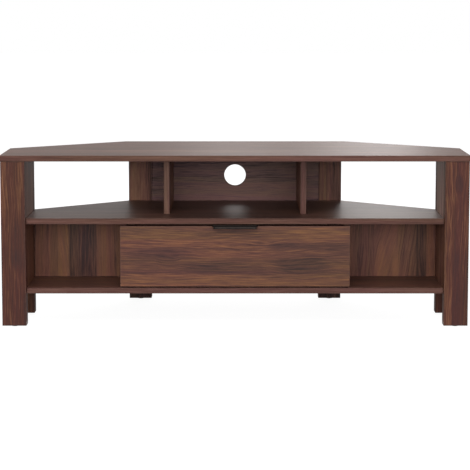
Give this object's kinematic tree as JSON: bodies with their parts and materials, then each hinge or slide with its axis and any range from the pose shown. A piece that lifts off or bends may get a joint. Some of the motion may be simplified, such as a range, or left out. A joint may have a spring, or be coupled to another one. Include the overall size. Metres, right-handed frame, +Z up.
{
  "type": "corner tv cabinet",
  "caption": "Low corner television cabinet of wood effect boards with a slant-cornered top, open upper compartments, side niches and a wide central drawer.",
  "frame": {"origin": "middle of the cabinet's footprint, on the floor", "axes": "+X to the right seen from the front, the drawer front faces -Y, +Z up"},
  "size_m": [1.2, 0.4, 0.442],
  "materials": {
    "walnut_foil": "satin walnut effect foil",
    "drawer_board": "matt brown foil",
    "hardboard": "matt lacquered hardboard",
    "black_metal": "satin black",
    "white_steel": "white powder coat",
    "nylon": "plain",
    "zinc": "zinc plated",
    "black_plastic": "matt"
  },
  "bodies": {
    "cabinet": {"top_panel": "walnut_foil", "middle_shelf": "walnut_foil", "bottom_shelf": "walnut_foil", "front_leg_left": "walnut_foil", "front_leg_right": "walnut_foil", "rear_leg_left": "walnut_foil", "rear_leg_right": "walnut_foil", "side_panel_left": "walnut_foil", "side_panel_right": "walnut_foil", "back_post_left": "walnut_foil", "back_post_right": "walnut_foil", "upper_back_panel": "walnut_foil", "lower_back_panel": "walnut_foil", "divider_left": "walnut_foil", "divider_right": "walnut_foil", "niche_back_left": "walnut_foil", "niche_back_right": "walnut_foil", "drawer_partition_left": "walnut_foil", "drawer_partition_right": "walnut_foil", "cabinet_runner_left": "white_steel", "cabinet_runner_right": "white_steel", "cabinet_runner_screw_left_front": "zinc", "cabinet_runner_screw_left_rear": "zinc", "cabinet_runner_screw_right_front": "zinc", "cabinet_runner_screw_right_rear": "zinc", "cam_lock_front_left": "zinc", "cam_lock_front_right": "zinc", "cam_lock_rear_left": "zinc", "cam_lock_rear_right": "zinc", "cam_lock_post_left": "zinc", "cam_lock_post_right": "zinc", "glide_front_left": "black_plastic", "glide_front_right": "black_plastic", "glide_rear_left": "black_plastic", "glide_rear_right": "black_plastic", "glide_post_left": "black_plastic", "glide_post_right": "black_plastic"},
    "drawer": {"drawer_front": "walnut_foil", "drawer_side_left": "drawer_board", "drawer_side_right": "drawer_board", "drawer_back": "drawer_board", "drawer_bottom": "hardboard", "drawer_pull": "black_metal", "pull_screw_left": "zinc", "pull_screw_right": "zinc", "drawer_runner_left": "white_steel", "drawer_runner_right": "white_steel", "drawer_runner_screw_left_front": "zinc", "drawer_runner_screw_left_rear": "zinc", "drawer_runner_screw_right_front": "zinc", "drawer_runner_screw_right_rear": "zinc"},
    "cabinet_roller_left": {"cabinet_roller_left": "nylon"},
    "cabinet_roller_right": {"cabinet_roller_right": "nylon"},
    "drawer_roller_left": {"drawer_roller_left": "nylon"},
    "drawer_roller_right": {"drawer_roller_right": "nylon"}
  },
  "joints": [
    {"name": "drawer_slide", "type": "slide", "parent": "cabinet", "child": "drawer", "axis": [0, -1, 0], "range_m": [0, 0.25]},
    {"name": "cabinet_roller_left_spin", "type": "hinge", "parent": "cabinet", "child": "cabinet_roller_left", "pos_m": [-0.27375, -0.154, 0.1233], "axis": [1, 0, 0], "range_deg": [0, 1304]},
    {"name": "cabinet_roller_right_spin", "type": "hinge", "parent": "cabinet", "child": "cabinet_roller_right", "pos_m": [0.27375, -0.154, 0.1233], "axis": [1, 0, 0], "range_deg": [0, 1304]},
    {"name": "drawer_roller_left_spin", "type": "hinge", "parent": "drawer", "child": "drawer_roller_left", "pos_m": [-0.27375, 0.119, 0.1195], "axis": [1, 0, 0], "range_deg": [0, 1304]},
    {"name": "drawer_roller_right_spin", "type": "hinge", "parent": "drawer", "child": "drawer_roller_right", "pos_m": [0.27375, 0.119, 0.1195], "axis": [1, 0, 0], "range_deg": [0, 1304]}
  ],
  "couplings": [
    {"joint": "cabinet_roller_left_spin", "follows": "drawer_slide", "rad_per_m": 90.909},
    {"joint": "cabinet_roller_right_spin", "follows": "drawer_slide", "rad_per_m": 90.909},
    {"joint": "drawer_roller_left_spin", "follows": "drawer_slide", "rad_per_m": 90.909},
    {"joint": "drawer_roller_right_spin", "follows": "drawer_slide", "rad_per_m": 90.909}
  ]
}
